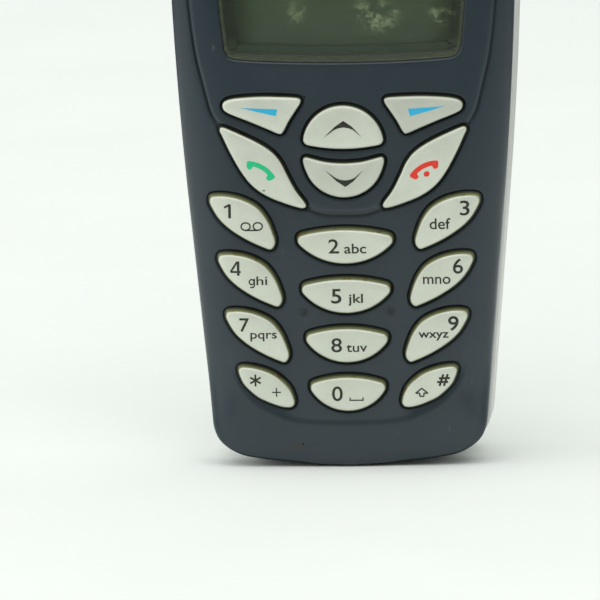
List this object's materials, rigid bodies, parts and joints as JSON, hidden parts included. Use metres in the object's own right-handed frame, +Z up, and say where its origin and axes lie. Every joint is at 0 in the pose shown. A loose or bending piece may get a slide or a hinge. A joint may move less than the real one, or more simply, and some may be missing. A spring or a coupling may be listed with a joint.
{
  "type": "candybar mobile phone",
  "caption": "One-piece mobile phone with a tapering two-cover case, a display window, separate leaf-shaped keys, a sliding rear cover and sockets in the foot.",
  "frame": {"origin": "middle of the foot that the phone stands on, in the plane where the front and rear covers meet", "axes": "+X to the right seen from the front, +Y from the front to the back, +Z up along the phone"},
  "size_m": [0.0502, 0.0245, 0.1186],
  "materials": {
    "navy_plastic": "satin moulded plastic",
    "key_silver": "silver paint on clear plastic",
    "clear_window": "clear, lightly scratched",
    "display_glass": "grey-green display glass",
    "silver_plastic": "satin moulded plastic",
    "grey_plastic": "moulded plastic",
    "black_plastic": "moulded plastic",
    "white_plastic": "moulded plastic",
    "dark_button": "moulded plastic",
    "grey_rubber": "silicone rubber",
    "black_rubber": "rubber",
    "black_foam": "foam",
    "board_laminate": "coated laminate",
    "bright_metal": "plated metal",
    "gold_contact": "plated contact metal"
  },
  "bodies": {
    "phone": {"front_cover": "navy_plastic", "display_window": "clear_window", "window_gasket": "black_foam", "display_panel": "display_glass", "display_frame": "white_plastic", "earpiece_mesh": "black_foam", "earpiece": "bright_metal", "keymat": "grey_rubber", "dome_sheet": "gold_contact", "circuit_board": "board_laminate", "shield_cans": "bright_metal", "chips": "black_plastic", "backlight_leds": "white_plastic", "microphone": "bright_metal", "microphone_boot": "black_rubber", "buzzer": "black_plastic", "vibration_motor": "bright_metal", "frame": "grey_plastic", "connector_block": "black_plastic", "charger_sleeve": "bright_metal", "headset_sleeve": "bright_metal", "card_holder": "bright_metal", "card": "white_plastic", "battery": "black_plastic", "battery_contacts": "gold_contact", "antenna": "gold_contact", "top_cap": "silver_plastic", "power_switch": "white_plastic", "board_screws": "bright_metal"},
    "rear_cover": {"rear_cover": "silver_plastic"},
    "release_button": {"release_button": "dark_button"},
    "power_button": {"power_button": "dark_button"},
    "vibration_weight": {"vibration_weight": "bright_metal"},
    "key_soft_left": {"key_soft_left": "key_silver"},
    "key_soft_right": {"key_soft_right": "key_silver"},
    "key_scroll_up": {"key_scroll_up": "key_silver"},
    "key_scroll_down": {"key_scroll_down": "key_silver"},
    "key_call": {"key_call": "key_silver"},
    "key_end": {"key_end": "key_silver"},
    "key_1": {"key_1": "key_silver"},
    "key_2": {"key_2": "key_silver"},
    "key_3": {"key_3": "key_silver"},
    "key_4": {"key_4": "key_silver"},
    "key_5": {"key_5": "key_silver"},
    "key_6": {"key_6": "key_silver"},
    "key_7": {"key_7": "key_silver"},
    "key_8": {"key_8": "key_silver"},
    "key_9": {"key_9": "key_silver"},
    "key_star": {"key_star": "key_silver"},
    "key_0": {"key_0": "key_silver"},
    "key_hash": {"key_hash": "key_silver"}
  },
  "joints": [
    {"name": "key_soft_left_press", "type": "slide", "parent": "phone", "child": "key_soft_left", "axis": [0, 1, 0], "range_m": [0, 0.0005], "stiffness_N_per_m": 1500},
    {"name": "key_soft_right_press", "type": "slide", "parent": "phone", "child": "key_soft_right", "axis": [0, 1, 0], "range_m": [0, 0.0005], "stiffness_N_per_m": 1500},
    {"name": "key_scroll_up_press", "type": "slide", "parent": "phone", "child": "key_scroll_up", "axis": [0, 1, 0], "range_m": [0, 0.0005], "stiffness_N_per_m": 1500},
    {"name": "key_scroll_down_press", "type": "slide", "parent": "phone", "child": "key_scroll_down", "axis": [0, 1, 0], "range_m": [0, 0.0005], "stiffness_N_per_m": 1500},
    {"name": "key_call_press", "type": "slide", "parent": "phone", "child": "key_call", "axis": [0, 1, 0], "range_m": [0, 0.0005], "stiffness_N_per_m": 1500},
    {"name": "key_end_press", "type": "slide", "parent": "phone", "child": "key_end", "axis": [0, 1, 0], "range_m": [0, 0.0005], "stiffness_N_per_m": 1500},
    {"name": "key_1_press", "type": "slide", "parent": "phone", "child": "key_1", "axis": [0, 1, 0], "range_m": [0, 0.0005], "stiffness_N_per_m": 1500},
    {"name": "key_2_press", "type": "slide", "parent": "phone", "child": "key_2", "axis": [0, 1, 0], "range_m": [0, 0.0005], "stiffness_N_per_m": 1500},
    {"name": "key_3_press", "type": "slide", "parent": "phone", "child": "key_3", "axis": [0, 1, 0], "range_m": [0, 0.0005], "stiffness_N_per_m": 1500},
    {"name": "key_4_press", "type": "slide", "parent": "phone", "child": "key_4", "axis": [0, 1, 0], "range_m": [0, 0.0005], "stiffness_N_per_m": 1500},
    {"name": "key_5_press", "type": "slide", "parent": "phone", "child": "key_5", "axis": [0, 1, 0], "range_m": [0, 0.0005], "stiffness_N_per_m": 1500},
    {"name": "key_6_press", "type": "slide", "parent": "phone", "child": "key_6", "axis": [0, 1, 0], "range_m": [0, 0.0005], "stiffness_N_per_m": 1500},
    {"name": "key_7_press", "type": "slide", "parent": "phone", "child": "key_7", "axis": [0, 1, 0], "range_m": [0, 0.0005], "stiffness_N_per_m": 1500},
    {"name": "key_8_press", "type": "slide", "parent": "phone", "child": "key_8", "axis": [0, 1, 0], "range_m": [0, 0.0005], "stiffness_N_per_m": 1500},
    {"name": "key_9_press", "type": "slide", "parent": "phone", "child": "key_9", "axis": [0, 1, 0], "range_m": [0, 0.0005], "stiffness_N_per_m": 1500},
    {"name": "key_star_press", "type": "slide", "parent": "phone", "child": "key_star", "axis": [0, 1, 0], "range_m": [0, 0.0005], "stiffness_N_per_m": 1500},
    {"name": "key_0_press", "type": "slide", "parent": "phone", "child": "key_0", "axis": [0, 1, 0], "range_m": [0, 0.0005], "stiffness_N_per_m": 1500},
    {"name": "key_hash_press", "type": "slide", "parent": "phone", "child": "key_hash", "axis": [0, 1, 0], "range_m": [0, 0.0005], "stiffness_N_per_m": 1500},
    {"name": "power_press", "type": "slide", "parent": "phone", "child": "power_button", "axis": [0, 0, -1], "range_m": [0, 0.0005], "stiffness_N_per_m": 1500},
    {"name": "release_press", "type": "slide", "parent": "phone", "child": "release_button", "axis": [0, -1, 0], "range_m": [0, 0.001], "stiffness_N_per_m": 2000},
    {"name": "rear_cover_slide", "type": "slide", "parent": "phone", "child": "rear_cover", "axis": [0, 0, -1], "range_m": [0, 0.01]},
    {"name": "vibration_spin", "type": "hinge", "parent": "phone", "child": "vibration_weight", "pos_m": [-0.006, 0.0001, 0.095], "axis": [1, 0, 0], "continuous": true}
  ]
}
